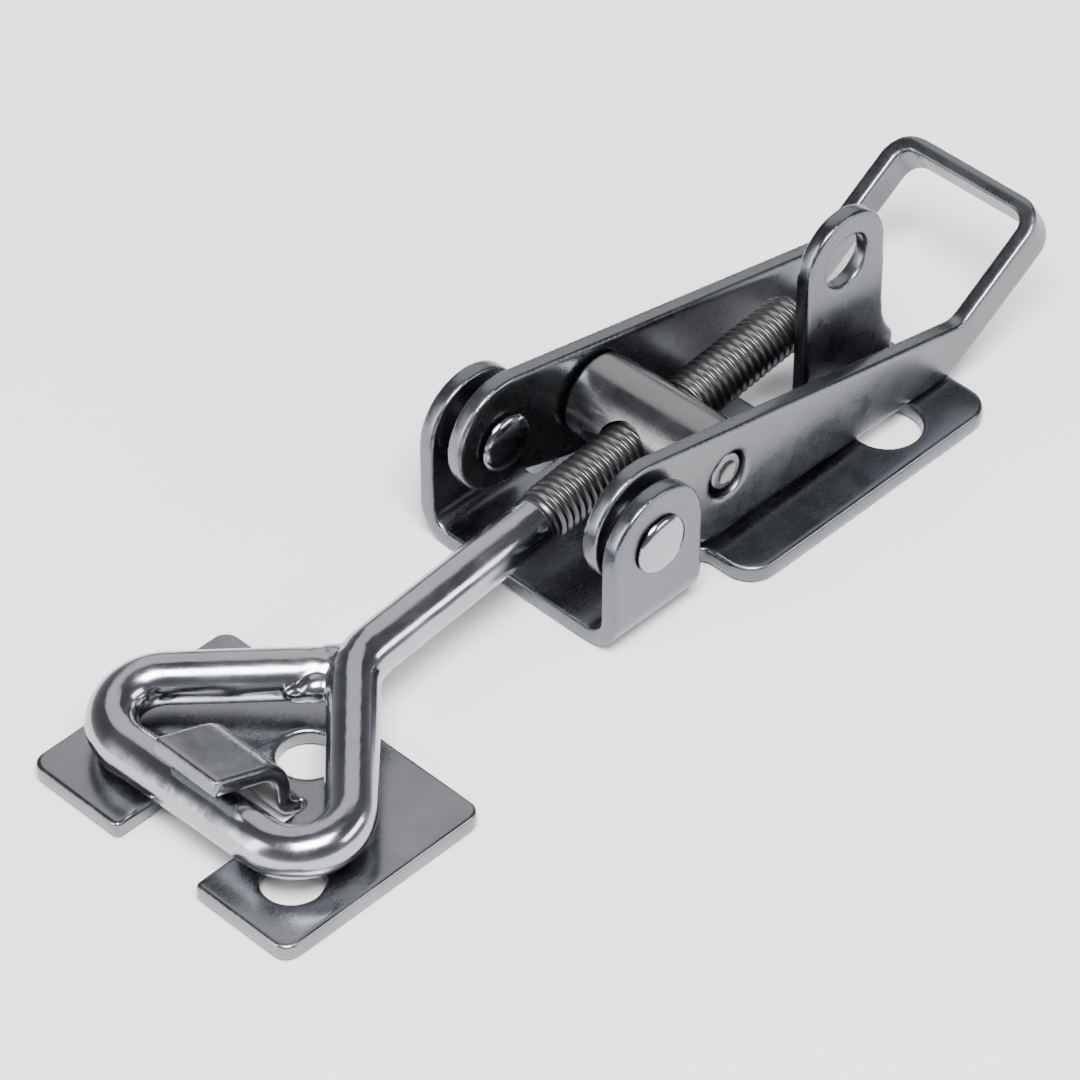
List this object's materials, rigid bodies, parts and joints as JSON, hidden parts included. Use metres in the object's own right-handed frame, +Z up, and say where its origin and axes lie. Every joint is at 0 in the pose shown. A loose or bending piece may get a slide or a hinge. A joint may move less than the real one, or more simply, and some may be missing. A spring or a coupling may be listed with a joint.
{
  "type": "toggle bolt latch",
  "caption": "Adjustable over-centre toggle latch in stainless steel: threaded hook bolt with a welded loop, lever handle with finger bail, padlock tab and hooked keeper.",
  "frame": {"origin": "on the base's underside, straight below the handle pivot, on the base's centre line", "axes": "+X from the keeper towards the handle's bail, +Z up from the mounting faces, +Y to the side away from the padlock tab"},
  "size_m": [0.1614, 0.0495, 0.036],
  "materials": {
    "sheet_base": "tumbled satin stainless sheet",
    "sheet_handle": "tumbled satin stainless sheet, polished edges",
    "sheet_keeper": "tumbled satin stainless sheet",
    "rivet": "polished stainless rivet",
    "washer": "plain stainless washer",
    "turned_bar": "turned stainless bar",
    "round_rod": "polished stainless rod with rolled thread"
  },
  "bodies": {
    "base": {"base_plate": "sheet_base", "pivot_rivet_near": "rivet", "pivot_rivet_far": "rivet", "spacer_washer_near": "washer", "spacer_washer_far": "washer"},
    "handle_body": {"handle": "sheet_handle"},
    "trunnion_body": {"trunnion": "turned_bar"},
    "bolt_body": {"hook_bolt": "round_rod"},
    "keeper_body": {"keeper": "sheet_keeper"}
  },
  "joints": [
    {"name": "handle_open", "type": "hinge", "parent": "base", "child": "handle_body", "pos_m": [0, -0.00065, 0.0155], "axis": [0, -1, 0], "range_deg": [0, 62]},
    {"name": "trunnion_swing", "type": "hinge", "parent": "handle_body", "child": "trunnion_body", "pos_m": [0.0174, -0.00065, 0.0138], "axis": [0, -1, 0], "range_deg": [-60, 0]},
    {"name": "bolt_adjust", "type": "slide", "parent": "trunnion_body", "child": "bolt_body", "axis": [0.9977, 0.0261, 0.0628], "range_m": [-0.00125, 0]},
    {"name": "keeper_release", "type": "slide", "parent": "base", "child": "keeper_body", "axis": [0.9285, 0, -0.3714], "range_m": [0, 0.0062]}
  ],
  "couplings": [
    {"joint": "trunnion_swing", "follows": "handle_open", "ratio": -0.83}
  ]
}
